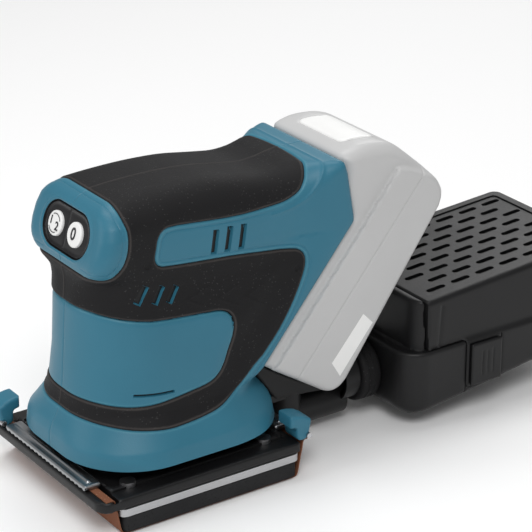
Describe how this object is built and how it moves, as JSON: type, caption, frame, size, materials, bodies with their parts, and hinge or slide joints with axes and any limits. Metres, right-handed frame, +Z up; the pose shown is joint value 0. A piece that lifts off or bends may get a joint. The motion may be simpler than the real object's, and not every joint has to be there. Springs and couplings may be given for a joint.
{
  "type": "cordless palm sander",
  "caption": "Cordless palm finishing sander with a quarter-sheet orbital pad, soft-covered handle, sloping slide-on battery and a rear dust box.",
  "frame": {"origin": "centre of the sanding face, under the motor axis", "axes": "+Z up along the motor axis, -X towards the front with the switch, +X towards the battery and dust box, -Y the tool left side"},
  "size_m": [0.328, 0.114, 0.161],
  "materials": {
    "shell": "satin moulded",
    "grip_rubber": "fine matt grain",
    "foot_rubber": "matt",
    "black_plastic": "satin",
    "panel_plastic": "semi-gloss",
    "board": "lacquered board",
    "tray_plastic": "satin",
    "button_white": "semi-gloss",
    "steel": "machined",
    "bearing_steel": "ground",
    "spring_steel": "zinc plated",
    "bracket_alloy": "die-cast",
    "fan_plastic": "moulded",
    "foam": "closed-cell foam",
    "abrasive_paper": "bonded grit",
    "battery_case": "satin moulded",
    "cell": "sleeved can",
    "dust_plastic": "satin moulded",
    "filter_paper": "filter fleece"
  },
  "bodies": {
    "housing": {"housing_left": "shell", "housing_right": "shell", "handle_grip": "grip_rubber", "neck_band": "grip_rubber", "skirt": "shell", "base_ring": "black_plastic", "rubber_foot_1": "foot_rubber", "rubber_foot_2": "foot_rubber", "rubber_foot_3": "foot_rubber", "rubber_foot_4": "foot_rubber", "switch_panel": "panel_plastic", "switch_board": "board", "controller": "board", "motor_stator": "steel", "bearing_upper": "bearing_steel", "bearing_lower": "bearing_steel", "bracket_lower": "bracket_alloy", "bracket_upper": "bracket_alloy", "rail_block": "black_plastic", "dust_nozzle": "black_plastic", "dust_collar": "grip_rubber"},
    "rotor": {"motor_shaft": "steel", "drive_pin": "steel", "rotor_core": "steel", "fan": "fan_plastic", "counterweight": "steel"},
    "pad": {"pad_tray": "tray_plastic", "pad_bearing": "bearing_steel", "base_plate": "bracket_alloy", "foam_pad": "foam", "sanding_sheet": "abrasive_paper", "pad_screw_1": "steel", "pad_screw_2": "steel", "pad_screw_3": "steel", "pad_screw_4": "steel", "lever_pin_front": "steel", "lever_pin_rear": "steel"},
    "front_lever": {"lever_front": "shell"},
    "rear_lever": {"lever_rear": "shell"},
    "front_clamp": {"clamp_front": "spring_steel"},
    "rear_clamp": {"clamp_rear": "spring_steel"},
    "speed_key": {"speed_button": "button_white"},
    "off_key": {"off_button": "button_white"},
    "battery": {"battery_upper_case": "battery_case", "battery_lower_case": "battery_case", "battery_cells_inner": "cell", "battery_cells_outer": "cell"},
    "release": {"release_button": "button_white"},
    "dust_front": {"dust_cap": "dust_plastic"},
    "dust_rear": {"dust_case": "dust_plastic", "dust_filter": "filter_paper"},
    "clip_left": {"dust_clip_left": "dust_plastic"},
    "clip_right": {"dust_clip_right": "dust_plastic"}
  },
  "joints": [
    {"name": "rotor_spin", "type": "hinge", "parent": "housing", "child": "rotor", "pos_m": [0, 0, 0.06], "axis": [0, 0, 1], "continuous": true},
    {"name": "pad_orbit", "type": "hinge", "parent": "rotor", "child": "pad", "pos_m": [0.00075, 0, 0.03], "axis": [0, 0, 1], "continuous": true},
    {"name": "front_lever_turn", "type": "hinge", "parent": "pad", "child": "front_lever", "pos_m": [-0.0635, 0.0495, 0.023], "axis": [0, -1, 0], "range_deg": [0, 75]},
    {"name": "front_clamp_lift", "type": "hinge", "parent": "pad", "child": "front_clamp", "pos_m": [-0.056, 0, 0.0219], "axis": [0, 1, 0], "range_deg": [0, 10]},
    {"name": "rear_lever_turn", "type": "hinge", "parent": "pad", "child": "rear_lever", "pos_m": [0.0575, -0.0495, 0.023], "axis": [0, 1, 0], "range_deg": [0, 75]},
    {"name": "rear_clamp_lift", "type": "hinge", "parent": "pad", "child": "rear_clamp", "pos_m": [0.05, 0, 0.0219], "axis": [0, -1, 0], "range_deg": [0, 10]},
    {"name": "speed_press", "type": "slide", "parent": "housing", "child": "speed_key", "axis": [0.9489, 0, -0.3156], "range_m": [0, 0.0015], "stiffness_N_per_m": 300, "springref_m": -0.0005},
    {"name": "off_press", "type": "slide", "parent": "housing", "child": "off_key", "axis": [0.9489, 0, -0.3156], "range_m": [0, 0.0015], "stiffness_N_per_m": 300, "springref_m": -0.0005},
    {"name": "battery_slide", "type": "slide", "parent": "housing", "child": "battery", "axis": [0.6388, 0, 0.7694], "range_m": [0, 0.08]},
    {"name": "release_press", "type": "slide", "parent": "battery", "child": "release", "axis": [0, 0, -1], "range_m": [0, 0.0022], "stiffness_N_per_m": 400, "springref_m": -0.0006},
    {"name": "dust_box_pull", "type": "slide", "parent": "housing", "child": "dust_front", "axis": [1, 0, 0], "range_m": [0, 0.04]},
    {"name": "dust_case_pull", "type": "slide", "parent": "dust_front", "child": "dust_rear", "axis": [1, 0, 0], "range_m": [0, 0.06]},
    {"name": "clip_left_turn", "type": "hinge", "parent": "dust_rear", "child": "clip_left", "pos_m": [0.187, -0.0515, 0.03], "axis": [0, 0, 1], "range_deg": [0, 10], "stiffness_Nm_per_rad": 0.02, "springref_deg": -2.86},
    {"name": "clip_right_turn", "type": "hinge", "parent": "dust_rear", "child": "clip_right", "pos_m": [0.187, 0.0465, 0.03], "axis": [0, 0, -1], "range_deg": [0, 10], "stiffness_Nm_per_rad": 0.02, "springref_deg": -2.86}
  ],
  "couplings": [
    {"joint": "pad_orbit", "follows": "rotor_spin", "ratio": -1},
    {"joint": "front_clamp_lift", "follows": "front_lever_turn", "ratio": 0.13333},
    {"joint": "rear_clamp_lift", "follows": "rear_lever_turn", "ratio": 0.13333}
  ]
}
